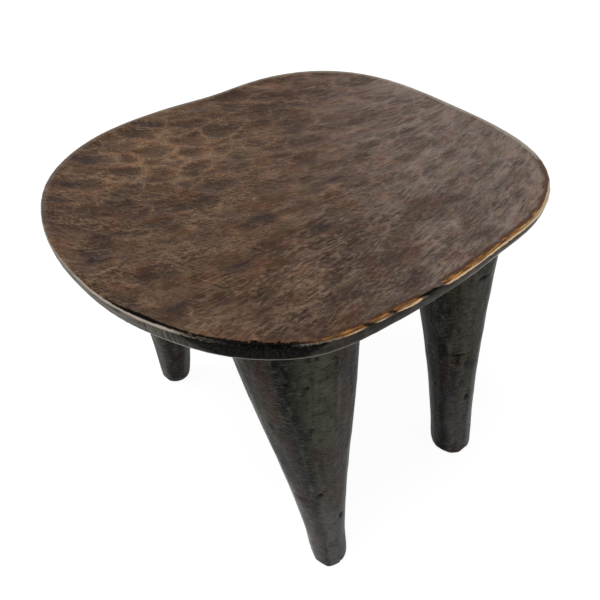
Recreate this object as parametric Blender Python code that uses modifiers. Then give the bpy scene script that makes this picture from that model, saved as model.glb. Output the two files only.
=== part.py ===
"""A low hand-carved wooden stool: a rounded, gently dished seat slab on four tapered legs.

Each leg stands in a blind mortise in the underside of the seat. A wedge in the end of its tenon spreads
the tenon into the undercut mortise, so that nothing shows on the seat. Lengths are metres, +Z is up, and
the origin is on the floor under the middle of the seat. +X runs along the seat's length.
"""

import math

import bmesh
import bpy
import numpy as np
from mathutils import Matrix, Vector

# Seat
SEAT_LENGTH = 0.428
SEAT_DEPTH = 0.373
SEAT_HEIGHT = 0.312
SEAT_THICKNESS = 0.034
DISH_DEPTH = 0.005
DISH_WIDTH = 0.120
RIM_THICKNESS = 0.014
RIM_UNDERCUT = 0.002
RIM_ARRIS = 0.0025
RIM_LOWER_ARRIS = 0.0015
BELLY_WIDTH = 0.100

# The seat's outline is a squared ellipse, squarer at its +X end, with the places where the edge was cut in
# or left full: angle round the seat, spread of the cut, and depth of the cut (negative where it is full).
SQUARENESS_RIGHT = 3.05
SQUARENESS_LEFT = 2.6
EDGE_CUTS = (
    (math.radians(76), math.radians(14), 0.0070),
    (math.radians(117), math.radians(12), -0.0025),
    (math.radians(155), math.radians(15), 0.0040),
    (math.radians(-153), math.radians(15), 0.0055),
    (math.radians(-124), math.radians(10), -0.0040),
    (math.radians(-70), math.radians(12), 0.0030),
)

# The rim is left thicker over the front left leg: angle round the seat, spread, and extra thickness.
RIM_SWELL = (math.radians(-138), math.radians(24), 0.0035)

# Legs: which end and side of the seat, the inset of the leg's top from that end and side, how far its foot
# stands out from its top along each, and its radii at the foot, the ankle, the calf and the seat.
LEGS = {
    "front_left": {
        "end": -1, "side": -1, "inset": (0.114, 0.0735), "splay": (-0.0075, 0.047),
        "radii": (0.0155, 0.0206, 0.0386, 0.0530),
    },
    "front_right": {
        "end": 1, "side": -1, "inset": (0.122, 0.0755), "splay": (0.0105, 0.0325),
        "radii": (0.0204, 0.0224, 0.0314, 0.0424),
    },
    "back_left": {
        "end": -1, "side": 1, "inset": (0.138, 0.0625), "splay": (-0.005, 0.015),
        "radii": (0.0163, 0.0224, 0.0354, 0.0464),
    },
    "back_right": {
        "end": 1, "side": 1, "inset": (0.124, 0.0675), "splay": (0.006, 0.021),
        "radii": (0.0178, 0.0224, 0.0348, 0.0460),
    },
}
ANKLE_HEIGHT = 0.070
CALF_DROP = 0.097
FOOT_ARRIS = 0.004

# Joints
TENON_RADIUS = 0.019
TENON_SPREAD = 0.0015
MORTISE_COVER = 0.012
WEDGE_HEIGHT = 0.015
WEDGE_TIP = 0.0025
WEDGE_END_RELIEF = 0.002
KERF_RELIEF = 0.001
FIT_GAP = 0.0003

# Fineness of the faceted surfaces
OUTLINE_POINTS = 96
DISH_RINGS = 6
BELLY_RINGS = 5
LEG_SIDES = 32
LEG_RINGS = 9
TENON_SIDES = 24

LEG_RISE = SEAT_HEIGHT - SEAT_THICKNESS
CALF_HEIGHT = LEG_RISE - CALF_DROP
MORTISE_FLOOR = SEAT_HEIGHT - MORTISE_COVER
TENON_END = MORTISE_FLOOR - FIT_GAP
WEDGE_BACK = WEDGE_TIP + 2 * TENON_SPREAD
WEDGE_LENGTH = 2 * (TENON_RADIUS - WEDGE_END_RELIEF)
ARRIS_SAG = 1 - math.cos(math.pi / 4)

SEAT_BROWN = (0.095, 0.055, 0.034, 1.0)
LEG_BLACK = (0.030, 0.024, 0.019, 1.0)
WEDGE_PALE = (0.360, 0.210, 0.100, 1.0)


def clear_scene():
    for old in list(bpy.data.objects):
        bpy.data.objects.remove(old)


def new_collection(name):
    collection = bpy.data.collections.new(name)
    bpy.context.scene.collection.children.link(collection)
    return collection


def wood(name, colour, roughness):
    material = bpy.data.materials.new(name)
    material.use_nodes = True
    shader = material.node_tree.nodes["Principled BSDF"]
    shader.inputs["Base Color"].default_value = colour
    shader.inputs["Roughness"].default_value = roughness
    shader.inputs["Metallic"].default_value = 0.0
    return material


def add_part(name, mesh, material, place, parent):
    mesh.materials.clear()
    mesh.materials.append(material)
    mesh.shade_smooth()
    mesh.set_sharp_from_angle(angle=math.radians(35))
    part = bpy.data.objects.new(name, mesh)
    part.location = place
    part.parent = parent
    parts.objects.link(part)
    return part


def add_cutter(name, mesh, place):
    cutter = bpy.data.objects.new(name, mesh)
    cutter.location = place
    cutter.hide_render = True
    cutter.display_type = "WIRE"
    cutters.objects.link(cutter)
    return cutter


def boolean(part, operation, other):
    modifier = part.modifiers.new(f"{operation.lower()} {other.name}", "BOOLEAN")
    modifier.operation = operation
    modifier.solver = "EXACT"
    modifier.object = other


def turned(profile, sides):
    """A mesh turned about Z from (radius, height) points that run down its outer side."""
    line = bpy.data.meshes.new("profile")
    steps = [(index, index + 1) for index in range(len(profile) - 1)]
    line.from_pydata([(radius, 0.0, height) for radius, height in profile], steps, [])
    lathe = bpy.data.objects.new("lathe", line)
    cutters.objects.link(lathe)
    screw = lathe.modifiers.new("turn", "SCREW")
    screw.steps = sides
    screw.render_steps = sides
    screw.use_merge_vertices = True
    screw.merge_threshold = 0.00005
    bpy.context.view_layer.update()
    solid = lathe.evaluated_get(bpy.context.evaluated_depsgraph_get())
    mesh = bpy.data.meshes.new_from_object(solid)
    bpy.data.objects.remove(lathe)
    return mesh


def leaned(mesh, lean):
    """The mesh with each level slid sideways, so that level faces stay level."""
    mesh.transform(Matrix(((1, 0, lean.x, 0), (0, 1, lean.y, 0), (0, 0, 1, 0), (0, 0, 0, 1))))
    return mesh


# Seat


def bump(angle, place, spread, height):
    """A smooth rise of that height round the seat, centred on one angle."""
    off = math.remainder(angle - place, math.tau)
    return height * math.exp(-((off / spread) ** 2))


def edge_radius(angle):
    """Distance from the seat's middle to its edge, before the outline is fitted to its length and depth."""
    squareness = SQUARENESS_RIGHT if math.cos(angle) > 0 else SQUARENESS_LEFT
    along = abs(math.cos(angle)) / (SEAT_LENGTH / 2)
    across = abs(math.sin(angle)) / (SEAT_DEPTH / 2)
    radius = (along**squareness + across**squareness) ** (-1 / squareness)
    return radius - sum(bump(angle, *cut) for cut in EDGE_CUTS)


def seat_outline():
    """The seat's edge as points, with its box centred and exactly as long and deep as stated."""
    angles = np.arange(OUTLINE_POINTS) * math.tau / OUTLINE_POINTS
    radii = np.array([edge_radius(angle) for angle in angles])
    points = np.column_stack((radii * np.cos(angles), radii * np.sin(angles)))
    low, high = points.min(axis=0), points.max(axis=0)
    return (points - (low + high) / 2) * np.array((SEAT_LENGTH, SEAT_DEPTH)) / (high - low)


def seat_section(rim_thickness, allowance):
    """(inset from the edge, height from the rim's top) of each ring, from the dish round to the belly."""
    section = []
    for step in range(DISH_RINGS):
        share = step / DISH_RINGS
        section.append((RIM_ARRIS + DISH_WIDTH * (1 - share), -DISH_DEPTH * (1 - share**2)))
    section.append((RIM_ARRIS, 0.0))
    section.append((ARRIS_SAG * RIM_ARRIS, -ARRIS_SAG * RIM_ARRIS))
    section.append((0.0, -RIM_ARRIS))
    section.append((RIM_UNDERCUT, RIM_LOWER_ARRIS - rim_thickness - allowance))
    for step in range(BELLY_RINGS + 1):
        share = step / BELLY_RINGS
        depth = rim_thickness + (SEAT_THICKNESS - rim_thickness) * (1 - (1 - share) ** 2)
        section.append((RIM_UNDERCUT + RIM_LOWER_ARRIS + BELLY_WIDTH * share, -depth - allowance))
    return section


def seat_mesh(allowance=0.0):
    """The seat slab, lofted ring by ring over the dish, round the rim and under the belly.

    An allowance lowers the underside.
    """
    outline = [Vector(point).to_3d() for point in seat_outline()]
    thicknesses = [RIM_THICKNESS + bump(math.atan2(point.y, point.x), *RIM_SWELL) for point in outline]
    sections = [seat_section(thickness, allowance) for thickness in thicknesses]
    slab = bmesh.new()
    ring = bmesh.ops.create_circle(slab, segments=OUTLINE_POINTS, radius=SEAT_LENGTH)["verts"]
    middle = [slab.edges.get((ring[index - 1], ring[index])) for index in range(OUTLINE_POINTS)]
    edges = middle
    for level in range(len(sections[0])):
        if level > 0:
            made = bmesh.ops.extrude_edge_only(slab, edges=edges)["geom"]
            fresh = {item for item in made if isinstance(item, bmesh.types.BMVert)}
            edges = [item for item in made if isinstance(item, bmesh.types.BMEdge)]
            edges = [edge for edge in edges if fresh.issuperset(edge.verts)]
            ring = [next(e.other_vert(v) for e in v.link_edges if e.other_vert(v) in fresh) for v in ring]
        for vertex, point, section in zip(ring, outline, sections):
            inset, height = section[level]
            vertex.co = point * (1 - inset / point.length)
            vertex.co.z = height
    bmesh.ops.edgeloop_fill(slab, edges=middle)
    bmesh.ops.edgeloop_fill(slab, edges=edges)
    bmesh.ops.recalc_face_normals(slab, faces=slab.faces)
    mesh = bpy.data.meshes.new("seat")
    slab.to_mesh(mesh)
    slab.free()
    return mesh


# Legs


def leg_top(leg):
    x = leg["end"] * (SEAT_LENGTH / 2 - leg["inset"][0])
    y = leg["side"] * (SEAT_DEPTH / 2 - leg["inset"][1])
    return Vector((x, y, 0.0))


def leg_foot(leg):
    return leg_top(leg) + Vector((leg["end"] * leg["splay"][0], leg["side"] * leg["splay"][1], 0.0))


def leg_lean(leg):
    """Sideways slide of the leg's axis per metre of height."""
    return (leg_top(leg) - leg_foot(leg)) / LEG_RISE


def shank_mesh(leg):
    """The leg's shank, carried on past the underside of the seat, where it is trimmed to fit."""
    swell = np.polynomial.Polynomial.fit((0.0, ANKLE_HEIGHT, CALF_HEIGHT, LEG_RISE), leg["radii"], 3)
    blank_top = SEAT_HEIGHT - RIM_THICKNESS
    foot = float(swell(0.0))
    profile = [(0.0, blank_top)]
    for level in np.linspace(blank_top, FOOT_ARRIS, LEG_RINGS):
        profile.append((float(swell(level)), float(level)))
    profile.append((foot - ARRIS_SAG * FOOT_ARRIS, ARRIS_SAG * FOOT_ARRIS))
    profile.append((foot - FOOT_ARRIS, 0.0))
    profile.append((0.0, 0.0))
    return leaned(turned(profile, LEG_SIDES), leg_lean(leg))


def tenon_mesh(leg, extra, top):
    """The round tenon from the calf up, spread towards its end. Larger by extra, it is its mortise."""
    neck = MORTISE_FLOOR - WEDGE_HEIGHT
    end = TENON_RADIUS + TENON_SPREAD + extra
    side = TENON_RADIUS + extra
    profile = [(0.0, top), (end, top), (side, neck), (side, CALF_HEIGHT), (0.0, CALF_HEIGHT)]
    return leaned(turned(profile, TENON_SIDES), leg_lean(leg))


# Wedges


def wedge_mesh(leg, extra, length, tip_drop, back_rise):
    """A wedge across the seat's grain with its thin edge down, grown by extra on each slope."""
    taper = (WEDGE_BACK - WEDGE_TIP) / WEDGE_HEIGHT
    low = TENON_END - WEDGE_HEIGHT - tip_drop
    high = TENON_END + back_rise
    block = bmesh.new()
    bmesh.ops.create_cube(block, size=1.0)
    for vertex in block.verts:
        level = high if vertex.co.z > 0 else low
        thickness = WEDGE_BACK + taper * (level - TENON_END) + 2 * extra
        vertex.co = Vector((vertex.co.x * thickness, vertex.co.y * length, level))
    mesh = bpy.data.meshes.new("wedge")
    block.to_mesh(mesh)
    block.free()
    return leaned(mesh, leg_lean(leg))


def kerf_mesh(leg):
    """The cut that takes the wedge, right across the tenon and out of its end."""
    return wedge_mesh(leg, FIT_GAP, 4 * TENON_RADIUS, KERF_RELIEF, WEDGE_HEIGHT)


clear_scene()
parts = new_collection("carved_stool")
cutters = new_collection("cutters")
stool = bpy.data.objects.new("stool", None)
parts.objects.link(stool)

seat_wood = wood("seat wood", SEAT_BROWN, 0.45)
leg_wood = wood("leg wood", LEG_BLACK, 0.40)
wedge_wood = wood("wedge wood", WEDGE_PALE, 0.65)

rim_top = Vector((0.0, 0.0, SEAT_HEIGHT))
seat = add_part("seat", seat_mesh(), seat_wood, rim_top, stool)
scribe = add_cutter("scribe", seat_mesh(FIT_GAP), rim_top)

for corner, leg in LEGS.items():
    foot = leg_foot(leg)
    mortise = add_cutter(f"mortise_{corner}", tenon_mesh(leg, FIT_GAP, MORTISE_FLOOR), foot)
    boolean(seat, "DIFFERENCE", mortise)

    shank = add_part(f"leg_{corner}", shank_mesh(leg), leg_wood, foot, stool)
    tenon = add_cutter(f"tenon_{corner}", tenon_mesh(leg, 0.0, TENON_END), foot)
    kerf = add_cutter(f"kerf_{corner}", kerf_mesh(leg), foot)
    boolean(shank, "DIFFERENCE", scribe)
    boolean(shank, "UNION", tenon)
    boolean(shank, "DIFFERENCE", kerf)

    add_part(f"wedge_{corner}", wedge_mesh(leg, 0.0, WEDGE_LENGTH, 0.0, 0.0), wedge_wood, foot, stool)
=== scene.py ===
"""A low carved stool of dark stained wood: its adzed seat, hewn legs and hidden wedges, in a white studio."""

import math

import bmesh
import bpy
import numpy as np
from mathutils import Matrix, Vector


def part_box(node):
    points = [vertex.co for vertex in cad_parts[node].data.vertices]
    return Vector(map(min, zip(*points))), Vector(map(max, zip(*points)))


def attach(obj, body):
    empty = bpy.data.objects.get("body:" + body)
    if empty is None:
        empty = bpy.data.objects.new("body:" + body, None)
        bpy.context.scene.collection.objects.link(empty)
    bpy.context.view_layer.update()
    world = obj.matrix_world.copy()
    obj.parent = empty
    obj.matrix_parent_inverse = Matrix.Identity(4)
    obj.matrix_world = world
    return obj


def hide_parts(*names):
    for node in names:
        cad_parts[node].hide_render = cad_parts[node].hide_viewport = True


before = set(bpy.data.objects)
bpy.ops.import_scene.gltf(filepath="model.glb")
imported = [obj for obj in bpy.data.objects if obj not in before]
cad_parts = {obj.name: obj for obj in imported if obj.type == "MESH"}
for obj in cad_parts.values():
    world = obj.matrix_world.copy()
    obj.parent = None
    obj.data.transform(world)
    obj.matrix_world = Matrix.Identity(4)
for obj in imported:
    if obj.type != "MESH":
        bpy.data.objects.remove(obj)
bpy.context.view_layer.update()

# Seat
# One slab of hardwood, dished on top and thinned to a rim, worked all over with a small adze and then
# scraped along the grain. It is stained dark brown, polished by use, and rubbed to bare wood along the
# front edge. The legs stand in blind mortises in its underside.

SEAT_MESH_SIZE = 0.0019
SEAT_SMOOTHING = 1
SEAT_SEED = 11
MERGE_DISTANCE = 0.00001

# Broad cuts from the first hewing, adze scoops over them, and larger scoops on the belly underneath.
HEW_LENGTH = 0.085
HEW_WIDTH = 0.065
HEW_DEPTH = 0.0009
SCOOP_LENGTH = 0.044
SCOOP_WIDTH = 0.026
SCOOP_DEPTH = 0.0013
BELLY_LENGTH = 1.6 * SCOOP_LENGTH
BELLY_WIDTH = 1.5 * SCOOP_WIDTH
BELLY_DEPTH = 1.8 * SCOOP_DEPTH

# How the scoops lie, as shares of their length and width: their spacing, how far each strays from its place
# in units of that spacing, how far out it is worked, and the range of sizes in the rows and of stray ones.
SCOOP_STEP = 0.8
SCOOP_STRAY = 0.4
SCOOP_REACH = 1.3
SCOOP_SIZES = (0.75, 1.3)
SMALL_SIZES = (0.35, 0.65)

# How unevenly deep they go, how far they turn off the grain, and the border over which they fade out.
SCOOP_UNEVEN = 0.0003
SCOOP_TURN = math.radians(12)
SCOOP_FADE = 0.012

# How dark the scoops' hollows are, none below 0, and where a hollow starts and is darkest in its scoop.
HOLLOW_DARKS = (-1.5, 1.0)
HOLLOW_EDGE = (1.2, 0.1)

# Crests between the cuts, the blending of the cuts' tones, and the wavering of the cuts' edges.
CREST_FINE = 0.00022
CREST_WIDE = 0.0006
CREST_PERCENT = 98
BLEND_DEPTH = 0.0008
BLEND_RANGE = (-30, 60)
LEAST_WEIGHT = 1e-12
WAVER = 0.0010
WAVER_SPACING = 0.024
WAVER_STRETCH = (0.7, 1.6)
WAVER_COUNT = 8

# The grain fans out towards the back and turns up again at the right front: slopes, and change of slope per
# metre. Cross scrapes lie at an angle to it.
GRAIN_FAN = 2.2
GRAIN_TURN = 0.22
GRAIN_BEND = 0.9
GRAIN_FRONT = 0.05
CROSSING_TURN = 0.8

# The rim: how level its widest ring is, where its foot lies below and within that ring, how far in the
# belly's scoops start, how level a face has to lie to be scooped, and how far down the top's inset counts.
SAME_LEVEL = 0.0001
FOOT_BELOW = 0.004
FOOT_INSET = 0.0027
BELLY_CLEAR = 0.005
FACING = (0.35, 0.9)
INSET_ENDS = (0.012, 0.008)

# The arris between top and rim: its middle and reach, how deep rubbing has worn it as a share of half the
# bare width, how far down the middle of the bare strip lies, and its chips, by angle, reach each way in
# degrees, and depth.
ARRIS_MIDDLE = -0.0005
ARRIS_REACH = (0.0045, 0.001)
BARE_FLAT = 0.25
BARE_DROP = 0.0009
CHIPS = ((-115.2, 1.4, 0.0011), (-109.0, 1.2, 0.0009), (-97.6, 3.4, 0.0016))
CHIP_SLANT = 0.005
CHIP_EDGE = (1.4, 0.4)

# Dark stains sunk in the deepest cuts: middle, length along the grain, width, and how dark.
STAINS = (
    (-0.045, 0.170, 0.040, 0.014, 1.0), (-0.120, 0.148, 0.045, 0.026, 0.7),
    (-0.154, 0.121, 0.036, 0.012, 0.9), (-0.178, 0.106, 0.020, 0.011, 0.8),
    (-0.131, 0.024, 0.044, 0.011, 0.7), (-0.058, 0.041, 0.052, 0.018, 0.6),
    (-0.020, 0.062, 0.030, 0.018, 0.6), (0.007, 0.162, 0.034, 0.012, 0.6),
    (-0.060, -0.027, 0.042, 0.015, 0.8), (-0.191, 0.009, 0.028, 0.014, 1.0),
    (-0.163, -0.026, 0.022, 0.005, 0.8), (-0.107, -0.063, 0.026, 0.005, 0.8),
    (-0.088, -0.054, 0.034, 0.014, 0.5), (-0.030, -0.067, 0.034, 0.010, 0.8),
    (-0.172, -0.077, 0.040, 0.010, 0.7), (0.145, -0.001, 0.030, 0.013, 0.6),
    (0.144, -0.036, 0.022, 0.008, 0.7), (0.032, -0.019, 0.036, 0.011, 0.7),
    (0.044, -0.039, 0.026, 0.011, 0.6), (0.117, -0.090, 0.070, 0.010, 0.4),
    (0.058, -0.112, 0.030, 0.009, 0.5), (0.068, 0.047, 0.030, 0.009, 0.5),
    (-0.075, -0.145, 0.060, 0.026, 0.5),
)

# Round the rim, by angle in degrees from the right end: how black, singed along its inner edge, ashen,
# scuffed and pale-lipped it is, half the width that is rubbed bare, and how far the bare wood has gone grey.
# The pale lip is partly wear and partly a painted highlight.
RIM_RUNS = {
    "soot": ((-156, 0.0), (-153, 0.2), (-145, 0.8), (-141, 1.0), (-131, 1.0), (-126, 0.5), (-121, 0.0)),
    "singe": (
        (-178, 0.0), (-171, 0.4), (-166, 1.2), (-160, 2.6),
        (-156, 2.0), (-151, 1.0), (-131, 1.0), (-121, 0.0),
    ),
    "ash": ((150, 0.0), (172, 0.5), (186, 1.0), (205, 1.0), (212, 0.6), (220, 0.0)),
    "scuff": ((-131, 0.0), (-127, 1.0), (-121, 0.9), (-116, 0.0)),
    "lip": ((-38, 0.0), (-30, 1.0), (20, 0.8), (60, 0.45), (110, 0.3), (150, 0.2), (172, 0.0)),
    "bare": (
        (-129, 0.0), (-125, 0.0005), (-121, 0.0008), (-118, 0.0012), (-115.5, 0.0004), (-112.5, 0.0015),
        (-109.5, 0.0005), (-106, 0.0018), (-102, 0.0020), (-100.5, 0.0), (-94.5, 0.0), (-93, 0.0019),
        (-82, 0.0020), (-70, 0.0022), (-60, 0.0027), (-54, 0.0037), (-48, 0.0040), (-43, 0.0028),
        (-38, 0.0015), (-33, 0.0007), (-31, 0.0),
    ),
    "faded": ((-66, 0.0), (-56, 0.4), (-46, 1.0), (-31, 1.0), (-25, 0.0)),
}


def fine_copy(node, mesh_size, smoothing):
    """The node's shape as an even mesh, with its drawn edges softened."""
    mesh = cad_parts[node].data.copy()
    solid = bmesh.new()
    solid.from_mesh(mesh)
    bmesh.ops.remove_doubles(solid, verts=solid.verts, dist=MERGE_DISTANCE)
    solid.to_mesh(mesh)
    solid.free()
    piece = bpy.data.objects.new(f"{node}_carved", mesh)
    bpy.context.scene.collection.objects.link(piece)
    remesh = piece.modifiers.new("even mesh", "REMESH")
    remesh.mode = "VOXEL"
    remesh.voxel_size = mesh_size
    bpy.context.view_layer.update()
    evaluated = piece.evaluated_get(bpy.context.evaluated_depsgraph_get())
    piece.data = bpy.data.meshes.new_from_object(evaluated)
    piece.modifiers.clear()
    soft = bmesh.new()
    soft.from_mesh(piece.data)
    every_axis = {"use_axis_x": True, "use_axis_y": True, "use_axis_z": True}
    for _ in range(smoothing):
        bmesh.ops.smooth_vert(soft, verts=soft.verts, factor=0.5, **every_axis)
    soft.to_mesh(piece.data)
    soft.free()
    piece.data.shade_smooth()
    return piece


def places(mesh):
    """The mesh's vertices and their outward normals."""
    points = np.empty(len(mesh.vertices) * 3, np.float32)
    normals = np.empty(len(mesh.vertices) * 3, np.float32)
    mesh.vertices.foreach_get("co", points)
    mesh.vertices.foreach_get("normal", normals)
    return points.reshape(-1, 3).astype(float), normals.reshape(-1, 3).astype(float)


def move(mesh, points):
    """Moves the mesh's vertices to these points."""
    mesh.vertices.foreach_set("co", points.astype(np.float32).ravel())
    mesh.update()


def keep(mesh, name, values):
    """Stores one number for each vertex, for the finish to read."""
    attribute = mesh.attributes.new(name, "FLOAT", "POINT")
    attribute.data.foreach_set("value", values.astype(np.float32))


def smooth_step(low, high, value):
    """0 below low and 1 above high, or the other way round where low is the greater."""
    share = np.clip((value - low) / (high - low), 0, 1)
    return share * share * (3 - 2 * share)


class Carving:
    """The lowest of many overlapping tool cuts: its height, its crests, and a tone for each cut."""

    def __init__(self, count):
        self.low = np.full(count, np.inf)
        self.next = np.full(count, np.inf)
        self.tone_sum = np.zeros(count)
        self.tone_weight = np.full(count, LEAST_WEIGHT)

    def cut(self, heights, tone, at=slice(None)):
        """Takes one more cut, at all the points or at some of them."""
        low = self.low[at]
        self.next[at] = np.minimum(self.next[at], np.maximum(low, heights))
        self.low[at] = np.minimum(low, heights)
        weight = np.exp(-np.clip(heights / BLEND_DEPTH, *BLEND_RANGE))
        self.tone_sum[at] += weight * tone
        self.tone_weight[at] += weight

    def crest(self, width):
        """1 where two cuts meet, falling off as the next cut lies higher."""
        return np.exp(-(self.next - self.low) / width)

    def tone(self):
        return self.tone_sum / self.tone_weight


def grain_lean(x, y):
    """The angle at which the grain runs at a place on the seat."""
    turn_up = 2 * GRAIN_BEND * max(x, 0) * smooth_step(GRAIN_FRONT, -GRAIN_FRONT, y)
    return math.atan2(turn_up - GRAIN_FAN * y - GRAIN_TURN, 1 + GRAIN_FAN * x)


def lens(away, lean, length, width):
    """How far out of a lens-shaped place each point lies, as a square: 0 in its middle and 1 at its edge."""
    along = away[0] * math.cos(lean) + away[1] * math.sin(lean)
    across = away[1] * math.cos(lean) - away[0] * math.sin(lean)
    return (along / (0.5 * length)) ** 2 + (across / (0.5 * width)) ** 2


def adzed(points, rng, length, width, depth):
    """Rows of shallow adze scoops and stray smaller ones over the points, some of them with a dark hollow."""
    carving = Carving(len(points))
    low, high = points.min(axis=0), points.max(axis=0)
    wavered = points[:, :2].T.copy()
    for _ in range(WAVER_COUNT):
        wave, push = rng.uniform(0, math.tau, 2)
        count = math.tau / (WAVER_SPACING * rng.uniform(*WAVER_STRETCH))
        run = points[:, 0] * math.cos(wave) + points[:, 1] * math.sin(wave)
        sway = WAVER * np.sin(count * run + rng.uniform(0, math.tau))
        wavered += np.outer((math.cos(push), math.sin(push)), sway)
    rows = int((high[1] - low[1]) / (SCOOP_STEP * width)) + 2
    columns = int((high[0] - low[0]) / (SCOOP_STEP * length)) + 2
    middles = []
    for row in range(rows):
        for column in range(columns):
            stagger = 0.5 * (row % 2)
            x = low[0] + (column + stagger + rng.uniform(-SCOOP_STRAY, SCOOP_STRAY)) * SCOOP_STEP * length
            y = low[1] + (row + rng.uniform(-SCOOP_STRAY, SCOOP_STRAY)) * SCOOP_STEP * width
            middles.append((x, y, rng.uniform(*SCOOP_SIZES)))
            stray = rng.uniform(low, high)
            middles.append((stray[0], stray[1], rng.uniform(*SMALL_SIZES)))
    for x, y, size in middles:
        lean = grain_lean(x, y) + rng.normal(0, SCOOP_TURN)
        lift = rng.normal(0, SCOOP_UNEVEN)
        dark = max(0, rng.uniform(*HOLLOW_DARKS))
        reach = SCOOP_REACH * length
        near = np.flatnonzero((np.abs(wavered[0] - x) < reach) & (np.abs(wavered[1] - y) < reach))
        bowl = lens(wavered[:, near] - [[x], [y]], lean, length * size, width * size)
        carving.cut(lift + depth * size * (bowl - 1), dark * smooth_step(*HOLLOW_EDGE, bowl), near)
    return carving


def round_rim(run, angles):
    """A value that runs round the rim between the named angles, in degrees."""
    stops, values = np.array(run).T
    return np.interp(np.degrees(angles), stops, values, period=360)


seat = fine_copy("seat", SEAT_MESH_SIZE, SEAT_SMOOTHING)
_, seat_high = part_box("seat")

# The solid's widest ring gives the edge's distance for each angle, and the ring under it the rim's foot.
solid_points, _ = places(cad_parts["seat"].data)
solid_angles = np.arctan2(solid_points[:, 1], solid_points[:, 0])
solid_reach = np.hypot(solid_points[:, 0], solid_points[:, 1])
widest_level = solid_points[solid_points[:, 0].argmax(), 2]
widest = np.abs(solid_points[:, 2] - widest_level) < SAME_LEVEL


def edge_reach(angles):
    """How far the seat's edge lies from its middle at each angle."""
    return np.interp(angles, solid_angles[widest], solid_reach[widest], period=math.tau)


points, normals = places(seat.data)
angles = np.arctan2(points[:, 1], points[:, 0])
inset = edge_reach(angles) - np.hypot(points[:, 0], points[:, 1])
drop = seat_high.z - points[:, 2]
solid_inset = edge_reach(solid_angles) - solid_reach
rim_foot = (solid_points[:, 2] < widest_level - FOOT_BELOW) & (solid_inset < FOOT_INSET)
foot_drop = seat_high.z - solid_points[rim_foot, 2]
rim_drop = np.interp(angles, solid_angles[rim_foot], foot_drop, period=math.tau)

rng = np.random.default_rng(SEAT_SEED)
hewing = adzed(points, rng, HEW_LENGTH, HEW_WIDTH, HEW_DEPTH)
scoops = adzed(points, rng, SCOOP_LENGTH, SCOOP_WIDTH, SCOOP_DEPTH)
belly_cuts = adzed(points, rng, BELLY_LENGTH, BELLY_WIDTH, BELLY_DEPTH)
on_top = normals[:, 2] > 0
upward = smooth_step(*FACING, normals[:, 2]) * smooth_step(0.0, SCOOP_FADE, inset)
downward = smooth_step(*FACING, -normals[:, 2]) * smooth_step(BELLY_CLEAR, BELLY_CLEAR + SCOOP_FADE, inset)
top_cuts = hewing.low + scoops.low
top_cuts -= np.percentile(top_cuts[on_top], CREST_PERCENT)
points[:, 2] += upward * top_cuts - downward * (belly_cuts.low - belly_cuts.low.mean())
points[:, 2] = np.minimum(points[:, 2], seat_high.z)

# Chips out of the arris, and the flat that rubbing has worn on it.
over = inset * smooth_step(*INSET_ENDS, drop) - drop
chipped = np.zeros(len(points))
for middle, reach_each_way, depth in CHIPS:
    away = (np.degrees(angles) - middle) / reach_each_way + over / CHIP_SLANT
    chipped = np.maximum(chipped, depth * smooth_step(*CHIP_EDGE, np.abs(away)))
on_arris = smooth_step(*ARRIS_REACH, np.abs(over - ARRIS_MIDDLE))
worn_flat = BARE_FLAT * round_rim(RIM_RUNS["bare"], angles)
points -= normals * ((chipped + worn_flat) * on_arris)[:, None]
move(seat.data, points)

keep(seat.data, "crest", np.where(on_top, scoops.crest(CREST_FINE), belly_cuts.crest(CREST_FINE)))
keep(seat.data, "wear", np.where(on_top, scoops.crest(CREST_WIDE), belly_cuts.crest(CREST_WIDE)))
keep(seat.data, "hollow", np.where(on_top, scoops.tone(), belly_cuts.tone()))
dark = np.zeros(len(points))
for x, y, length, width, strength in STAINS:
    bowl = lens(points[:, :2].T - [[x], [y]], grain_lean(x, y), length, width)
    dark = np.maximum(dark, strength * np.exp(-bowl))
keep(seat.data, "dark", np.where(on_top, dark, 0))
keep(seat.data, "over", over)
keep(seat.data, "along", (angles - math.pi / 2) % math.tau * solid_reach[widest].mean())
keep(seat.data, "down", drop / rim_drop)
for name, run in RIM_RUNS.items():
    keep(seat.data, name, round_rim(run, angles))
keep(seat.data, "chip", chipped / max(depth for _, _, depth in CHIPS))


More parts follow.
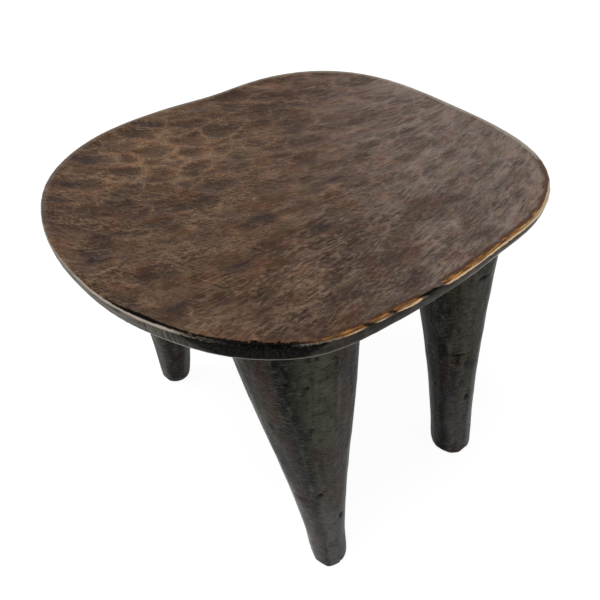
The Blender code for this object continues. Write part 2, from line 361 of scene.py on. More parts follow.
class Finish:
    """A material, with short calls for the nodes that the stool's wood needs."""

    def __init__(self, name):
        self.material = bpy.data.materials.new(name)
        self.material.use_nodes = True
        self.tree = self.material.node_tree
        self.shader = self.tree.nodes["Principled BSDF"]
        self.place = self.node("ShaderNodeTexCoord").outputs["Object"]

    def node(self, kind, inputs=None, **settings):
        made = self.tree.nodes.new(kind)
        for key, value in settings.items():
            setattr(made, key, value)
        for key, value in (inputs or {}).items():
            self.feed(made.inputs[key], value)
        return made

    def feed(self, socket, value):
        """Links a socket to what another gives, or sets it to a number or a colour."""
        if isinstance(value, bpy.types.NodeSocket):
            self.tree.links.new(value, socket)
        elif socket.type == "RGBA" and len(value) == 3:
            socket.default_value = (*value, 1.0)
        else:
            socket.default_value = value

    def attributes(self, *names):
        """The numbers that the mesh keeps under these names."""
        return [self.node("ShaderNodeAttribute", attribute_name=name).outputs["Fac"] for name in names]

    def math(self, operation, first, second=0.0, third=0.0):
        inputs = {0: first, 1: second, 2: third}
        return self.node("ShaderNodeMath", inputs, operation=operation).outputs[0]

    def times(self, first, *others):
        for other in others:
            first = self.math("MULTIPLY", first, other)
        return first

    def plus(self, value, share, base):
        """A base value with a share of another value added to it."""
        return self.math("MULTIPLY_ADD", value, share, base)

    def swing(self, noise, share, base):
        """A base value with a share of the noise's swing either way added to it."""
        return self.plus(self.math("SUBTRACT", noise, 0.5), share, base)

    def gap(self, value, level):
        """How far a value lies from a level, either way."""
        return self.math("ABSOLUTE", self.math("SUBTRACT", value, level))

    def step(self, value, low, high):
        """0 below low and 1 above high, or the other way round where low is the greater."""
        inputs = {"Value": value, "From Min": low, "From Max": high}
        return self.node("ShaderNodeMapRange", inputs, interpolation_type="SMOOTHSTEP").outputs[0]

    def between(self, share, first, second):
        """A value that goes from the first to the second with the share."""
        return self.plus(self.math("SUBTRACT", second, first), share, first)

    def noise(self, stretch, detail=3.0, roughness=0.55, shift=(0.0, 0.0, 0.0), place=None):
        """Noise with so many blotches to the metre along each axis."""
        inputs = {"Vector": self.place if place is None else place, "Scale": stretch, "Location": shift}
        mapped = self.node("ShaderNodeMapping", inputs).outputs[0]
        inputs = {"Vector": mapped, "Scale": 1.0, "Detail": detail, "Roughness": roughness}
        return self.node("ShaderNodeTexNoise", inputs).outputs[0]

    def patch(self, middle, reach):
        """1 in the middle of an oval patch seen from above, falling to 0 at its edge."""
        away = self.node("ShaderNodeVectorMath", {0: self.place, 1: (*middle, 0.0)}, operation="SUBTRACT")
        shares = (1 / reach[0], 1 / reach[1], 0.0)
        away = self.node("ShaderNodeVectorMath", {0: away.outputs[0], 1: shares}, operation="MULTIPLY")
        away = self.node("ShaderNodeVectorMath", {0: away.outputs[0]}, operation="LENGTH")
        return self.step(away.outputs["Value"], 1.0, 0.2)

    def mix(self, share, first, second, blend="MIX"):
        inputs = {0: share, 6: first, 7: second}
        return self.node("ShaderNodeMix", inputs, data_type="RGBA", blend_type=blend).outputs[2]

    def bump(self, height, distance):
        inputs = {"Height": height, "Distance": distance, "Strength": 1.0}
        return self.node("ShaderNodeBump", inputs).outputs[0]

    def surface(self, inputs):
        """Feeds the shader's own sockets."""
        for key, value in inputs.items():
            self.feed(self.shader.inputs[key], value)

    def cover(self, piece):
        """Gives a piece this finish and no other."""
        piece.data.materials.clear()
        piece.data.materials.append(self.material)


# The greyer hollow, worn and scrape colours are the same stain under a painted sheen.
HOLLOW_UMBER = (0.046, 0.026, 0.018)
HOLLOW_SHEEN_GREY = (0.070, 0.047, 0.037)
WORN_TAN = (0.164, 0.100, 0.066)
WORN_SHEEN_GREY = (0.220, 0.169, 0.143)
WORN_GOLDEN = (0.190, 0.108, 0.066)
STAIN_DEEP = (0.016, 0.010, 0.010)
STAIN_PLUM = (0.026, 0.019, 0.022)
STAIN_RUST = (0.140, 0.060, 0.036)
RUST_TINT = (1.07, 0.97, 0.93)
OLIVE_TINT = (0.97, 1.02, 0.93)
MAUVE_TINT = (1.00, 0.98, 1.05)
COOL_TINT = (0.975, 0.985, 1.060)
SCRAPE_TAN = (0.290, 0.195, 0.125)
SCRAPE_SHEEN_GREY = (0.290, 0.230, 0.190)
CREST_GOLD = (0.350, 0.215, 0.118)
RIM_CHARCOAL = (0.066, 0.055, 0.046)
RIM_SOOT = (0.0016, 0.0014, 0.0014)
RIM_DARK = (0.026, 0.022, 0.018)
RIM_SPECK = (0.016, 0.014, 0.010)
RIM_FRINGE = (0.170, 0.074, 0.034)
ASH_PALE = (0.430, 0.370, 0.310)
ASH_OLIVE = (0.165, 0.148, 0.118)
ASH_DARK = (0.042, 0.038, 0.033)
ASH_FLECK = (0.340, 0.330, 0.310)
ASH_BORDER = (0.210, 0.120, 0.045)
ARRIS_WEAR_AND_HIGHLIGHT = (0.380, 0.340, 0.285)
FOOT_HIGHLIGHT = (0.500, 0.460, 0.410)
BARE_CREAM = (0.900, 0.660, 0.410)
BARE_GOLD = (0.620, 0.310, 0.075)
BARE_BROWN = (0.250, 0.112, 0.034)
BARE_EMBER = (0.420, 0.135, 0.025)
BARE_BURNT = (0.055, 0.021, 0.009)
BARE_BEIGE = (0.540, 0.430, 0.310)
BELLY_BROWN = (0.020, 0.015, 0.011)
BELLY_WORN = (0.072, 0.052, 0.038)
SEAT_GLOSS = 0.02
SEAT_BUMP = 0.0006

wood = Finish("adzed seat wood")
crest, wear, hollow, dark = wood.attributes("crest", "wear", "hollow", "dark")
over, along, down, chip = wood.attributes("over", "along", "down", "chip")
soot, singe, ash, scuff, lip, bare, faded = wood.attributes(*RIM_RUNS)

# Places along and across the grain, and streaks of several sizes that follow it.
axes = wood.node("ShaderNodeSeparateXYZ", {0: wood.place}).outputs
past_middle = wood.math("MAXIMUM", axes["X"], 0.0)
turn_up = wood.times(past_middle, past_middle, wood.step(axes["Y"], GRAIN_FRONT, -GRAIN_FRONT))
slope = wood.plus(axes["Y"], GRAIN_FAN, GRAIN_TURN)
across = wood.plus(turn_up, -GRAIN_BEND, wood.plus(axes["X"], slope, axes["Y"]))
grain = wood.node("ShaderNodeCombineXYZ", {"X": axes["X"], "Y": across, "Z": axes["Z"]}).outputs[0]
turned_grain = {"Vector": grain, "Angle": CROSSING_TURN}
crossing = wood.node("ShaderNodeVectorRotate", turned_grain, rotation_type="Z_AXIS").outputs[0]
streaked = wood.plus(axes["X"], 0.3, wood.times(axes["Y"], -1.0))
streaked = wood.step(wood.plus(past_middle, 0.5, streaked), -0.03, 0.08)


def drawn_out(rounder, longer, detail, shift):
    """Noise that is rounder at the left and back, and longer along the grain at the right and front."""
    rounder = wood.noise(rounder, detail, shift=shift, place=grain)
    longer = wood.noise(longer, detail, shift=shift, place=grain)
    return wood.between(streaked, rounder, longer)


blotches = wood.noise((7, 18, 10), place=grain)
mottle = drawn_out((25, 46, 30), (20, 54, 30), 2.0, (4.0, 9.0, 0.0))
clouds = drawn_out((66, 100, 70), (50, 130, 70), 2.0, (1.0, 2.0, 0.0))
strokes = drawn_out((150, 250, 150), (80, 320, 150), 1.5, (3.0, 5.0, 0.0))
grit = wood.noise((480, 640, 500), detail=2.0, shift=(2.0, 7.0, 0.0), place=grain)
fibres = wood.noise((190, 600, 500), detail=2.0, place=grain)
dashes = wood.between(streaked, grit, fibres)
cracks = wood.noise((28, 330, 200), detail=2.0, shift=(7.0, 3.0, 0.0), place=grain)
deep_cracks = wood.step(cracks, 0.36, 0.26)
cross_cuts = wood.noise((45, 380, 200), detail=1.0, shift=(5.0, 1.0, 0.0), place=crossing)
patches = wood.noise((26, 50, 26), detail=2.0, shift=(2.0, 6.0, 0.0), place=grain)
tints = wood.noise((40, 80, 40), detail=1.0, shift=(8.0, 4.0, 0.0), place=grain)
hues = wood.noise((90, 150, 90), detail=1.5, shift=(6.0, 2.0, 0.0), place=grain)
golden = wood.patch((-0.060, 0.115), (0.130, 0.090))
rubbed = wood.patch((-0.075, -0.105), (0.110, 0.075))
# Painted shade over the left end, which is also less rubbed there, and over the front middle.
left_shade = wood.patch((-0.150, 0.045), (0.120, 0.110))
shaded = wood.patch((-0.015, -0.112), (0.085, 0.070))
bleached = wood.patch((-0.105, -0.125), (0.075, 0.050))
cooled = wood.patch((0.105, 0.090), (0.140, 0.110))

# Stain: dark in the scoops and worn on their crests, warm at the left and back; a painted sheen greys the
# right front.
frontward = wood.plus(axes["Y"], -0.9, axes["X"])
# The painted sheen: greyer hollows, crests and scrapes, and a lighter top towards the right front.
sheen_side = wood.step(wood.swing(blotches, 0.10, frontward), -0.05, 0.20)
hollow_stain = wood.mix(sheen_side, HOLLOW_UMBER, HOLLOW_SHEEN_GREY)
worn_stain = wood.mix(sheen_side, WORN_TAN, WORN_SHEEN_GREY)
worn_stain = wood.mix(wood.times(golden, 0.5), worn_stain, WORN_GOLDEN)
shown = wood.plus(wood.step(patches, 0.42, 0.60), 0.35, wood.plus(golden, 0.5, 0.20))
cells = wood.times(wood.math("SUBTRACT", wear, 0.35), shown)
# Painted shade darkens the left end and the front middle.
tone = wood.plus(shaded, -0.24, wood.plus(left_shade, -0.20, 0.41))
tone = wood.plus(bleached, 0.14, tone)
tone = wood.plus(wood.times(sheen_side, wood.math("SUBTRACT", axes["X"], 0.075)), 1.7, tone)
tone = wood.swing(blotches, 1.1, wood.plus(cells, 0.95, tone))
tone = wood.swing(clouds, 0.80, wood.swing(mottle, 1.0, tone))
tone = wood.swing(dashes, 0.7, wood.swing(strokes, 0.85, tone))
tone = wood.plus(hollow, -0.30, tone)
stain = wood.mix(wood.step(tone, -0.1, 1.1), hollow_stain, worn_stain)
rusty = wood.times(wood.step(tints, 0.53, 0.72), wood.plus(sheen_side, -0.04, 0.16))
stain = wood.mix(rusty, stain, STAIN_RUST)
stain = wood.mix(wood.times(wood.step(tints, 0.46, 0.32), 0.25), stain, STAIN_PLUM)
stain = wood.mix(wood.step(tints, 0.50, 0.66), stain, RUST_TINT, "MULTIPLY")
stain = wood.mix(wood.step(hues, 0.49, 0.36), stain, OLIVE_TINT, "MULTIPLY")
stain = wood.mix(wood.step(hues, 0.51, 0.64), stain, MAUVE_TINT, "MULTIPLY")
stain = wood.mix(cooled, stain, COOL_TINT, "MULTIPLY")
darkened = wood.swing(strokes, 0.5, wood.swing(clouds, 0.7, dark))
stain = wood.mix(wood.times(wood.step(darkened, 0.15, 0.85), 0.85), stain, STAIN_PLUM)

# Scraping: hairlines along and across the grain, short pale dashes and dark ones, thickest on worn places,
# long cracks, and gilt specks on the crests.
# Scrape marks turn greyer under the painted sheen.
scrape = wood.mix(sheen_side, SCRAPE_TAN, SCRAPE_SHEEN_GREY)
worn_patch = wood.step(patches, 0.40, 0.62)
hairs = wood.step(wood.gap(cracks, 0.52), 0.045, 0.010)
stain = wood.mix(wood.times(hairs, wood.plus(worn_patch, 0.25, 0.05)), stain, scrape)
cross_hairs = wood.step(wood.gap(cross_cuts, 0.50), 0.040, 0.010)
uncombed = wood.plus(streaked, -0.4, 1.0)
cross_hairs = wood.times(cross_hairs, uncombed, wood.plus(worn_patch, 0.27, 0.08))
stain = wood.mix(cross_hairs, stain, scrape)
scraped = wood.plus(rubbed, 0.20, wood.plus(wear, 0.20, patches))
scraped = wood.times(wood.step(scraped, 0.50, 0.85), wood.plus(sheen_side, -0.5, 1.0))
pale_dashes = wood.times(wood.step(dashes, 0.53, 0.68), wood.plus(scraped, 0.30, 0.12))
stain = wood.mix(pale_dashes, stain, scrape)
dark_dashes = wood.times(wood.step(dashes, 0.47, 0.32), wood.plus(scraped, 0.30, 0.25))
stain = wood.mix(dark_dashes, stain, STAIN_DEEP)
stain = wood.mix(wood.times(deep_cracks, 0.5), stain, STAIN_DEEP)
specks = wood.step(wood.noise((520, 700, 520), detail=2.0), 0.50, 0.60)
gilded = wood.math("MAXIMUM", crest, wood.times(wood.step(wear, 0.55, 0.90), 0.6))
gilded = wood.times(wood.plus(gilded, 0.9, 0.1), specks, wood.plus(golden, 0.75, 0.08))
stain = wood.mix(gilded, stain, CREST_GOLD)

# Rim: soot black over the front corner, ash grey to the left of it and blotched charcoal elsewhere, with
# faint upright ticks.
ragged = wood.noise((200, 200, 200), detail=5.0, roughness=0.7)
uneven = wood.swing(ragged, wood.plus(soot, 0.010, 0.003), over)
ticks = wood.noise((420, 420, 35), detail=3.0)
charring = wood.noise((90, 90, 120), detail=3.0, shift=(4.0, 8.0, 1.0))
rim_place = wood.node("ShaderNodeCombineXYZ", {"X": along, "Y": over}).outputs[0]
slivers = wood.noise((38, 520, 1), detail=2.0, place=rim_place)
chars = wood.noise((60, 640, 1), detail=2.0, shift=(5.0, 2.0, 0.0), place=rim_place)
charred = wood.step(wood.swing(charring, 1.0, wood.swing(ticks, 0.4, 0.5)), 0.30, 0.70)
rim = wood.mix(charred, RIM_DARK, RIM_CHARCOAL)
ticked = wood.step(along, 0.385, 0.42)
ash_cuts = wood.plus(soot, -0.25, wood.swing(ticks, 0.6, 0.46))
ash_cuts = wood.between(ticked, slivers, ash_cuts)
ash_middle = wood.mix(wood.step(ash_cuts, 0.34, 0.54), ASH_DARK, ASH_OLIVE)
unsooted = wood.math("SUBTRACT", 1.0, soot)
ash_middle = wood.mix(wood.times(wood.step(ash_cuts, 0.54, 0.70), unsooted, 0.6), ash_middle, ASH_FLECK)
ash_lines = wood.times(wood.step(wood.gap(down, 0.58), 0.36, 0.42), wood.step(slivers, 0.30, 0.52))
rim = wood.mix(ash, rim, wood.mix(ash_lines, ash_middle, ASH_PALE))
blackened = wood.plus(soot, 1.25, wood.plus(down, -0.85, -0.12))
blackened = wood.step(wood.swing(ticks, 0.4, blackened), -0.10, 0.16)
rim = wood.mix(blackened, rim, wood.mix(specks, RIM_SOOT, RIM_SPECK))

# Underside: dull brown, paler on its crests and cracked, with a painted highlight along the rim's foot,
# strongest at the right front.
belly_tone = wood.swing(mottle, 0.8, wood.plus(wear, 0.25, clouds))
belly_tone = wood.swing(strokes, 0.6, belly_tone)
belly = wood.mix(wood.step(belly_tone, 0.30, 0.85), BELLY_BROWN, BELLY_WORN)
belly = wood.mix(wood.times(deep_cracks, 0.6), belly, STAIN_DEEP)
rim = wood.mix(wood.step(down, 1.10, 1.20), rim, belly)
# The painted highlight on the rim's foot, raised at the front and most at the right front.
forward = wood.step(axes["Y"], 0.02, -0.08)
rightward = wood.times(forward, wood.step(axes["X"], -0.02, 0.08))
foot_middle = wood.plus(rightward, -0.11, 1.0)
foot_reach = wood.plus(rightward, 0.06, 0.08)
foot_highlight = wood.step(wood.gap(down, foot_middle), foot_reach, 0.03)
foot_highlight_share = wood.plus(forward, 0.3, wood.plus(ash, 0.3, 0.15))
foot_highlight_share = wood.plus(rightward, 0.5, foot_highlight_share)
rim = wood.mix(wood.times(foot_highlight, foot_highlight_share), rim, FOOT_HIGHLIGHT)

# Where the top meets the rim: a warm ragged border, a burnt line inside it, and a pale worn arris.
bordered = wood.step(wood.swing(ragged, 0.012, over), 0.0070, 0.0025)
colour = wood.mix(wood.times(bordered, soot, 0.6), stain, RIM_FRINGE)
colour = wood.mix(wood.times(bordered, ash, wood.step(grit, 0.44, 0.60), 0.45), colour, ASH_BORDER)
colour = wood.mix(wood.times(bordered, ash, wood.step(grit, 0.46, 0.36), 0.7), colour, HOLLOW_UMBER)
burnt_from = wood.plus(soot, 0.0012, wood.plus(singe, 0.0012, 0.0014))
burnt = wood.step(wood.math("SUBTRACT", uneven, burnt_from), 0.0007, -0.0007)
burnt_share = wood.math("MAXIMUM", soot, wood.times(singe, wood.step(clouds, 0.72, 0.52)))
colour = wood.mix(wood.times(burnt, burnt_share), colour, RIM_SOOT)
colour = wood.mix(wood.step(uneven, 0.0006, -0.0008), colour, rim)
arris = wood.step(wood.gap(uneven, -0.0010), 0.0019, 0.0007)
unburnt = wood.times(unsooted, wood.step(slivers, 0.30, 0.50))
colour = wood.mix(wood.times(arris, unburnt, wood.plus(ash, 0.40, 0.30)), colour, ASH_PALE)
dots = wood.step(wood.noise((800, 800, 800), detail=1.0), 0.44, 0.58)
dotted = wood.times(scuff, wood.step(wood.gap(over, -0.0008), 0.0013, 0.0005), dots)
colour = wood.mix(wood.times(dotted, 0.55), colour, ARRIS_WEAR_AND_HIGHLIGHT)
# A pale lip along the back and right arris, partly wear and partly a painted highlight.
on_highlit_lip = wood.step(wood.swing(ragged, 0.004, over), 0.0065, 0.0035)
on_highlit_lip = wood.times(on_highlit_lip, wood.step(over, -0.006, -0.002))
colour = wood.mix(wood.times(lip, on_highlit_lip, 0.7), colour, ARRIS_WEAR_AND_HIGHLIGHT)

# The right front arris, rubbed to bare wood: cream outside, golden inside with burnt flecks and a scorched
# border, gone grey at the right end, and black again in its chips.
wandering = wood.noise((70, 70, 70), detail=2.0, shift=(3.0, 1.0, 2.0))
has_bare = wood.step(wood.swing(ragged, 0.003, bare), 0.0002, 0.0010)
has_bare = wood.times(wood.step(bare, 0.0, 0.0003), has_bare)
from_middle = wood.math("ADD", over, BARE_DROP)
inner = wood.swing(slivers, 0.004, wood.swing(wandering, 0.003, from_middle))
inner = wood.math("SUBTRACT", inner, bare)
outer = wood.math("ADD", wood.swing(ragged, 0.003, from_middle), bare)
fresh = wood.plus(faded, -0.8, 1.0)
inside = wood.times(has_bare, wood.step(over, -0.001, 0.0))
border = wood.swing(ragged, 0.005, wood.swing(wandering, 0.006, over))
scorched = wood.times(inside, wood.step(border, 0.0085, 0.0048))
colour = wood.mix(wood.times(scorched, 0.75), colour, BARE_BURNT)
gilt = wood.times(inside, fresh, wood.step(border, 0.0046, 0.0024))
colour = wood.mix(wood.times(gilt, wood.step(chars, 0.36, 0.54), 0.85), colour, BARE_BROWN)
colour = wood.mix(wood.times(gilt, wood.step(chars, 0.52, 0.66), 0.75), colour, BARE_GOLD)
creamy = wood.step(wood.swing(chars, 0.010, over), 0.0006, -0.0008)
bare_colour = wood.mix(creamy, BARE_GOLD, BARE_CREAM)
bare_colour = wood.mix(wood.times(wood.step(bare, 0.0013, 0.0005), 0.8), bare_colour, BARE_EMBER)
flecked = wood.times(wood.step(chars, 0.54, 0.46), wood.step(over, -0.0026, -0.0004), fresh, 0.9)
seam = wood.swing(slivers, 0.004, wood.math("SUBTRACT", over, 0.0003))
seam = wood.step(wood.math("ABSOLUTE", seam), 0.0008, 0.0003)
flecked = wood.math("MAXIMUM", flecked, wood.times(seam, fresh, 0.8))
bare_colour = wood.mix(flecked, bare_colour, BARE_BURNT)
bare_colour = wood.mix(wood.times(faded, 0.85), bare_colour, BARE_BEIGE)
bare_share = wood.times(has_bare, wood.step(inner, 0.0006, -0.0002), wood.step(outer, -0.0005, 0.0003))
colour = wood.mix(bare_share, colour, bare_colour)
torn = wood.step(wood.swing(slivers, 0.9, wood.swing(ragged, 0.6, chip)), 0.35, 0.65)
torn_place = wood.step(wood.gap(uneven, 0.0005), 0.0040, 0.0020)
torn = wood.times(torn, wood.step(chip, 0.0, 0.2), torn_place)
colour = wood.mix(wood.times(torn, 0.95), colour, RIM_SOOT)

relief = wood.plus(dashes, 0.25, wood.times(strokes, 0.25))
relief = wood.plus(ticks, wood.times(wood.step(over, 0.0, -0.003), 0.2), relief)
wood.surface({
    "Base Color": colour,
    "Roughness": wood.plus(clouds, 0.3, 0.22),
    "Specular IOR Level": SEAT_GLOSS,
    "Normal": wood.bump(relief, SEAT_BUMP),
})
wood.cover(seat)
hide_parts("seat")
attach(seat, "root")

# Legs
# Four tapered legs split from the same wood and hewn down their length in long, slightly hollow facets.
# They are stained near black and rubbed to a dull shine, and each has a round tenon in the seat.

CORNERS = ("front_left", "front_right", "back_left", "back_right")
LEG_MESH_SIZE = 0.0013
LEG_SMOOTHING = 3
LEG_SEED = 20
RING_DEPTH = 0.002
LEAST_RADIUS = 0.001

# Long facets and short dents over them: how many go round, how long and flat they are, and how unevenly they
# lie. Rows stand a share of that length apart, and each cut strays a share of its spacing round and up.
FACETS = 9
FACET_LENGTH = 0.140
FACET_FLATNESS = 0.45
FACET_UNEVEN = 0.0005
FACET_EDGE = 0.00025
DENTS = 15
DENT_LENGTH = 0.034
DENT_FLATNESS = 0.26
DENT_UNEVEN = 0.00020
CUT_HOLLOW = 0.0008
CUT_STEP = 0.75
CUT_STRAY_ROUND = 0.35
CUT_STRAY_UP = 0.45

# Above this height what lies within the tenon's edge isn't hewn, and nor are the faces that look up or down.
TENON_HEIGHT = 0.272
TENON_EDGE = (0.026, 0.032)
SIDE_FACING = (0.9, 0.5)

# Bands down each leg: angle round it in degrees, and how strong. Black is painted shade, grey a painted
# sheen, red is where the stain has worn thin, and the pale bands are a painted highlight along the legs'
# edges.
BANDS = {
    "front_left": {
        "black": ((-136, 0.9), (60, 1.0)),
        "grey": ((-106, 1.0), (-120, 0.9)),
        "red": ((-156, 1.0), (-80, 1.0)),
        "limb_highlight": ((164, 0.6),),
    },
    "front_right": {
        "black": ((-164, 1.1), (178, 1.1), (-90, 0.5)),
        "grey": ((-132, 0.5), (-116, 0.9)),
        "red": ((-122, 0.7), (-70, 0.8)),
        "limb_highlight": ((-64, 0.5), (150, 0.1)),
    },
    "back_left": {
        "black": ((-125, 1.0), (-100, 0.6)),
        "grey": ((150, 1.0), (-170, 0.8)),
        "red": ((-150, 0.7), (60, 0.8)),
        "limb_highlight": ((-60, 0.1), (40, 0.1)),
    },
    "back_right": {
        "black": ((0, 1.0), (120, 1.0)),
        "grey": ((35, 1.0), (-90, 1.0)),
        "red": ((80, 1.0), (-40, 0.8)),
        "limb_highlight": ((-130, 0.1), (100, 0.1)),
    },
}
BAND_REACH = math.radians(17)

# Knots, nicks and chips: angle, height, reach round the leg, reach up it, and depth. From a given depth on
# they are black. More chips lie all round the foot, with a range of reaches and depths.
NICKS = {
    "front_left": (
        (-119, 0.2555, 0.0018, 0.0018, 0.0016), (-108, 0.2830, 0.0016, 0.0016, 0.0014),
        (-122, 0.1150, 0.0026, 0.0022, 0.0028), (-79, 0.0744, 0.0022, 0.0034, 0.0024),
        (-166, 0.1070, 0.0120, 0.0036, 0.0006), (-95, 0.0020, 0.0060, 0.0050, 0.0022),
    ),
    "front_right": (
        (-96, 0.2432, 0.0060, 0.0016, 0.0018), (-126, 0.1503, 0.0070, 0.0016, 0.0018),
        (-129, 0.1420, 0.0020, 0.0060, 0.0014), (-100, 0.0875, 0.0030, 0.0036, 0.0016),
    ),
    "back_left": ((-130, 0.1900, 0.0030, 0.0020, 0.0016), (40, 0.0900, 0.0050, 0.0018, 0.0016)),
    "back_right": ((60, 0.1700, 0.0060, 0.0016, 0.0016), (20, 0.0600, 0.0024, 0.0030, 0.0020)),
}
BLACK_DEPTH = 0.0014
FOOT_CHIPS = 12
FOOT_CHIP_REACH = (0.002, 0.006)
FOOT_CHIP_DEPTH = (0.0008, 0.0022)

LEG_CHARCOAL = (0.033, 0.034, 0.020)
LEG_BLACK = (0.0026, 0.0026, 0.0020)
LEG_SHEEN_GREY = (0.075, 0.076, 0.052)
LEG_RED = (0.056, 0.028, 0.022)
LEG_LIMB_HIGHLIGHT = (0.300, 0.285, 0.262)
LEG_SLATE = (0.128, 0.122, 0.118)
LEG_PIT = (0.0020, 0.0020, 0.0020)
# Where the slate grey low down fades in, partly painted light below the seat's shade, and its share on each
# leg.
SLATE_HEIGHTS = (0.140, 0.045)
SLATE_SHARES = {"front_left": 1.0, "front_right": 0.6, "back_left": 0.2, "back_right": 0.6}
LEG_GLOSS = 0.02
LEG_SHEEN = 0.30
LEG_SHEEN_ROUGHNESS = 0.35
LEG_BUMP = 0.0008

wood = Finish("hewn leg wood")
tone, edge, nick, slate = wood.attributes("tone", "edge", "nick", "slate")
black, grey, red, limb_highlight = wood.attributes("black", "grey", "red", "limb_highlight")
blotches = wood.noise((40, 40, 14), detail=4.0, roughness=0.6)
mottle = wood.noise((110, 110, 70), detail=4.0, roughness=0.65, shift=(2.0, 5.0, 0.0))
streaks = wood.noise((300, 300, 16), detail=3.0, roughness=0.6)
fibres = wood.noise((620, 620, 60), detail=2.0, shift=(5.0, 2.0, 0.0))
marks = wood.noise((430, 430, 620), detail=2.0, shift=(9.0, 1.0, 3.0))
rusts = wood.noise((38, 38, 16), detail=3.0, shift=(1.0, 7.0, 2.0))
ripples = wood.noise((150, 150, 320), detail=3.0, roughness=0.65, shift=(6.0, 4.0, 1.0))
up = wood.node("ShaderNodeSeparateXYZ", {0: wood.place}).outputs["Z"]


def band(share, strength, reach=0.6):
    """How far a band shows: broken by the blotches and mottle, and drawn out a little down the leg."""
    shown = wood.swing(mottle, 0.8, wood.swing(streaks, 0.5, wood.times(share, reach)))
    shown = wood.swing(blotches, 1.5, shown)
    return wood.times(wood.step(shown, 0.15, 0.75), strength)


# Stain with painted light: charcoal to black in blotches, slate grey low down, banded, and pitted and rippled
# all over.
shade = wood.swing(tone, 0.5, wood.swing(mottle, 1.0, blotches))
stain = wood.mix(wood.step(shade, 0.28, 0.66), LEG_BLACK, LEG_CHARCOAL)
# A painted sheen in the grey bands.
stain = wood.mix(band(grey, 0.9), stain, LEG_SHEEN_GREY)
# Lighter slate grey low down, partly painted light where the seat's shade no longer falls.
low = wood.step(wood.swing(blotches, 0.10, up), *SLATE_HEIGHTS)
stain = wood.mix(wood.times(low, slate, wood.step(mottle, 0.16, 0.50), 0.8), stain, LEG_SLATE)
stain = wood.mix(wood.times(wood.step(rusts, 0.52, 0.66), 0.5), stain, LEG_RED)
stain = wood.mix(band(red, 0.55), stain, LEG_RED)
# Painted shade in the black bands.
stain = wood.mix(band(black, 0.8), stain, LEG_BLACK)
# A painted highlight in the pale bands along the legs' edges.
stain = wood.mix(wood.times(band(limb_highlight, 0.9, 0.85), wood.step(ripples, 0.15, 0.75)), stain, LEG_LIMB_HIGHLIGHT)
stain = wood.mix(wood.times(edge, wood.step(mottle, 0.40, 0.60), 0.35), stain, LEG_SLATE)
stain = wood.mix(wood.times(wood.step(ripples, 0.48, 0.34), 0.48), stain, LEG_PIT)
stain = wood.mix(wood.times(wood.step(ripples, 0.54, 0.70), 0.40), stain, LEG_SLATE)
stain = wood.mix(wood.times(wood.step(fibres, 0.48, 0.34), 0.08), stain, LEG_PIT)
stain = wood.mix(wood.times(wood.step(marks, 0.58, 0.70), 0.30), stain, LEG_PIT)
stain = wood.mix(nick, stain, LEG_PIT)
relief = wood.plus(wood.step(marks, 0.50, 0.70), -0.3, wood.times(streaks, 0.15))
relief = wood.plus(mottle, 0.6, wood.plus(ripples, 0.4, relief))
wood.surface({
    "Base Color": stain,
    "Roughness": wood.plus(blotches, 0.4, 0.22),
    "Specular IOR Level": LEG_GLOSS,
    "Sheen Weight": LEG_SHEEN,
    "Sheen Roughness": LEG_SHEEN_ROUGHNESS,
    "Normal": wood.bump(relief, LEG_BUMP),
})


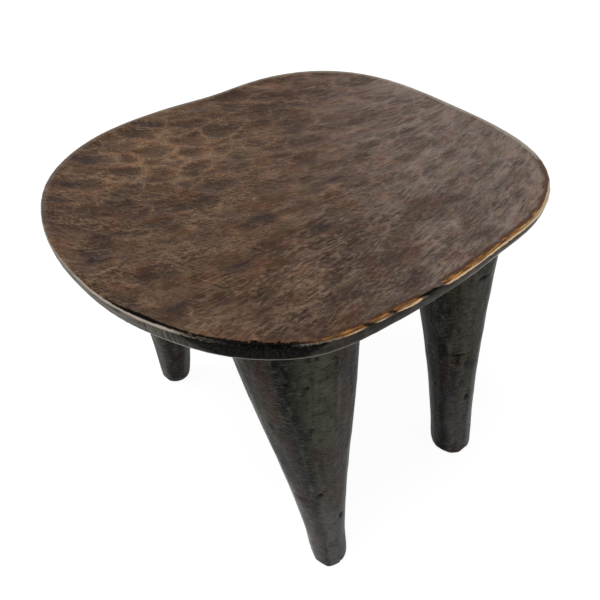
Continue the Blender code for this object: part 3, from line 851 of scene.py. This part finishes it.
def hewn(leg, corner, rng):
    """Hews the leg's shank into rows of long facets, nicks it, and leaves its tenon round."""
    points, normals = places(leg.data)
    floor_ring = points[points[:, 2] < RING_DEPTH]
    end_ring = points[points[:, 2] > points[:, 2].max() - RING_DEPTH]
    foot = (floor_ring.min(axis=0) + floor_ring.max(axis=0)) / 2
    end = (end_ring.min(axis=0) + end_ring.max(axis=0)) / 2
    heights = points[:, 2]
    centres = foot[:2] + (end - foot)[:2] * (heights / end[2])[:, None]
    out = points[:, :2] - centres
    radii = np.hypot(out[:, 0], out[:, 1])
    around = np.arctan2(out[:, 1], out[:, 0])

    def turned(middle):
        """Each point's angle from a middle one, either way."""
        return (around - middle + math.pi) % math.tau - math.pi

    def cuts(count, length, flatness, uneven):
        """Staggered rows of cuts down the leg, so many to each row."""
        carving = Carving(len(points))
        half = math.pi / count
        for row in range(int(end[2] / (CUT_STEP * length)) + 2):
            for number in range(count):
                stagger = 0.5 * (row % 2)
                middle = (number + stagger + rng.uniform(-CUT_STRAY_ROUND, CUT_STRAY_ROUND)) * 2 * half
                level = (row + rng.uniform(-CUT_STRAY_UP, CUT_STRAY_UP)) * CUT_STEP * length
                lift = rng.normal(0, uneven)
                flat = flatness * radii * (turned(middle) ** 2 - half**2) / 2
                carving.cut(lift + flat + CUT_HOLLOW * ((heights - level) / length) ** 2, rng.uniform())
        return carving

    facets = cuts(FACETS, FACET_LENGTH, FACET_FLATNESS, FACET_UNEVEN)
    dents = cuts(DENTS, DENT_LENGTH, DENT_FLATNESS, DENT_UNEVEN)
    shift = facets.low - facets.low.mean() + dents.low - dents.low.mean()
    nicked = np.zeros(len(points))
    for angle, height, reach_round, reach_up, depth in NICKS[corner]:
        across = radii * turned(math.radians(angle)) / reach_round
        dent = np.exp(-(across**2) - ((heights - height) / reach_up) ** 2)
        shift -= depth * dent
        nicked = np.maximum(nicked, dent * min(1, depth / BLACK_DEPTH))
    for _ in range(FOOT_CHIPS):
        across = radii * turned(rng.uniform(0, math.tau)) / rng.uniform(*FOOT_CHIP_REACH)
        chip = np.exp(-(across**2) - (heights / rng.uniform(*FOOT_CHIP_REACH)) ** 2)
        shift -= rng.uniform(*FOOT_CHIP_DEPTH) * chip
    shank = np.where(heights > TENON_HEIGHT, smooth_step(*TENON_EDGE, radii), 1.0)
    sideways = smooth_step(*SIDE_FACING, np.abs(normals[:, 2]))
    outward = out / np.maximum(radii, LEAST_RADIUS)[:, None]
    points[:, :2] += outward * (shank * sideways * shift)[:, None]
    move(leg.data, points)
    keep(leg.data, "tone", facets.tone())
    keep(leg.data, "edge", facets.crest(FACET_EDGE))
    keep(leg.data, "nick", nicked)
    keep(leg.data, "slate", np.full(len(points), SLATE_SHARES[corner]))
    for name, bands in BANDS[corner].items():
        share = np.zeros(len(points))
        for angle, strength in bands:
            away = turned(math.radians(angle)) / BAND_REACH
            share = np.maximum(share, strength * np.exp(-(away**2)))
        keep(leg.data, name, share)


for index, corner in enumerate(CORNERS):
    leg = fine_copy(f"leg_{corner}", LEG_MESH_SIZE, LEG_SMOOTHING)
    hewn(leg, corner, np.random.default_rng(LEG_SEED + index))
    wood.cover(leg)
    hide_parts(f"leg_{corner}")
    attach(leg, "root")

# Wedges
# A thin split wedge of paler wood in the end of each tenon, hidden in its mortise. It was driven home by
# the mortise's floor as the leg was knocked in.

WEDGE_PALE = (0.330, 0.190, 0.085)
WEDGE_DARK = (0.190, 0.100, 0.042)
WEDGE_ROUGHNESS = 0.7
WEDGE_BUMP = 0.0004

wood = Finish("split wedge wood")
fibres = wood.noise((700, 700, 40), detail=4.0)
wood.surface({
    "Base Color": wood.mix(wood.step(fibres, 0.35, 0.65), WEDGE_PALE, WEDGE_DARK),
    "Roughness": WEDGE_ROUGHNESS,
    "Normal": wood.bump(fibres, WEDGE_BUMP),
})
for corner in CORNERS:
    wood.cover(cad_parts[f"wedge_{corner}"])

# Studio
# A white floor that shows a faint shadow, a room that looks white, one large soft lamp overhead, a little to
# the left and back, and the camera where the photograph was taken from.

CAMERA_PLACE = Vector((-0.3692, -0.4379, 0.6595))
CAMERA_AIM = Vector((0.49409, 0.57581, -0.65140))
CAMERA_LENS = 45.0
FLOOR_REACH = 12.0
FLOOR_WHITE = (0.90, 0.90, 0.90)
FLOOR_GLOW = 0.82
FLOOR_GLOW_STRENGTH = 1.14
ROOM_LIGHT = 0.35
ROOM_WHITE = 1.0
KEY_LIGHT = 2.05
KEY_SOFTNESS = math.radians(40)
KEY_TILT = Vector((0.28, -0.15, -1.0))


def camera_or_gloss(tree):
    """1 for rays from the camera or from a gloss, which see white, and 0 for the others."""
    light_path = tree.nodes.new("ShaderNodeLightPath")
    seen = tree.nodes.new("ShaderNodeMath")
    seen.operation = "MAXIMUM"
    tree.links.new(light_path.outputs["Is Camera Ray"], seen.inputs[0])
    tree.links.new(light_path.outputs["Is Glossy Ray"], seen.inputs[1])
    return seen.outputs[0]


floor_mesh = bpy.data.meshes.new("floor")
sheet = bmesh.new()
bmesh.ops.create_grid(sheet, x_segments=1, y_segments=1, size=FLOOR_REACH)
sheet.to_mesh(floor_mesh)
sheet.free()
floor = bpy.data.objects.new("floor", floor_mesh)
bpy.context.scene.collection.objects.link(floor)
floor_finish = bpy.data.materials.new("white floor")
floor_finish.use_nodes = True
tree = floor_finish.node_tree
tree.nodes.clear()
glow_share = tree.nodes.new("ShaderNodeMath")
glow_share.operation = "MULTIPLY"
glow_share.inputs[1].default_value = FLOOR_GLOW
tree.links.new(camera_or_gloss(tree), glow_share.inputs[0])
matt = tree.nodes.new("ShaderNodeBsdfDiffuse")
matt.inputs["Color"].default_value = (*FLOOR_WHITE, 1.0)
glow = tree.nodes.new("ShaderNodeEmission")
glow.inputs["Strength"].default_value = FLOOR_GLOW_STRENGTH
blend = tree.nodes.new("ShaderNodeMixShader")
tree.links.new(glow_share.outputs[0], blend.inputs[0])
tree.links.new(matt.outputs[0], blend.inputs[1])
tree.links.new(glow.outputs[0], blend.inputs[2])
output = tree.nodes.new("ShaderNodeOutputMaterial")
tree.links.new(blend.outputs[0], output.inputs["Surface"])
floor.data.materials.append(floor_finish)

world = bpy.data.worlds.new("studio")
world.use_nodes = True
bpy.context.scene.world = world
tree = world.node_tree
room = tree.nodes["Background"]
room.inputs["Color"].default_value = (1.0, 1.0, 1.0, 1.0)
strength = tree.nodes.new("ShaderNodeMapRange")
strength.inputs["To Min"].default_value = ROOM_LIGHT
strength.inputs["To Max"].default_value = ROOM_WHITE
tree.links.new(camera_or_gloss(tree), strength.inputs["Value"])
tree.links.new(strength.outputs[0], room.inputs["Strength"])

key = bpy.data.lights.new("key lamp", "SUN")
key.energy = KEY_LIGHT
key.angle = KEY_SOFTNESS
key_holder = bpy.data.objects.new("key lamp", key)
key_holder.rotation_euler = KEY_TILT.to_track_quat("-Z", "Y").to_euler()
bpy.context.scene.collection.objects.link(key_holder)

camera_data = bpy.data.cameras.new("camera")
camera_data.lens = CAMERA_LENS
camera = bpy.data.objects.new("camera", camera_data)
camera.location = CAMERA_PLACE
camera.rotation_euler = CAMERA_AIM.to_track_quat("-Z", "Y").to_euler()
bpy.context.scene.collection.objects.link(camera)
bpy.context.scene.camera = camera
bpy.context.scene.view_settings.view_transform = "Standard"
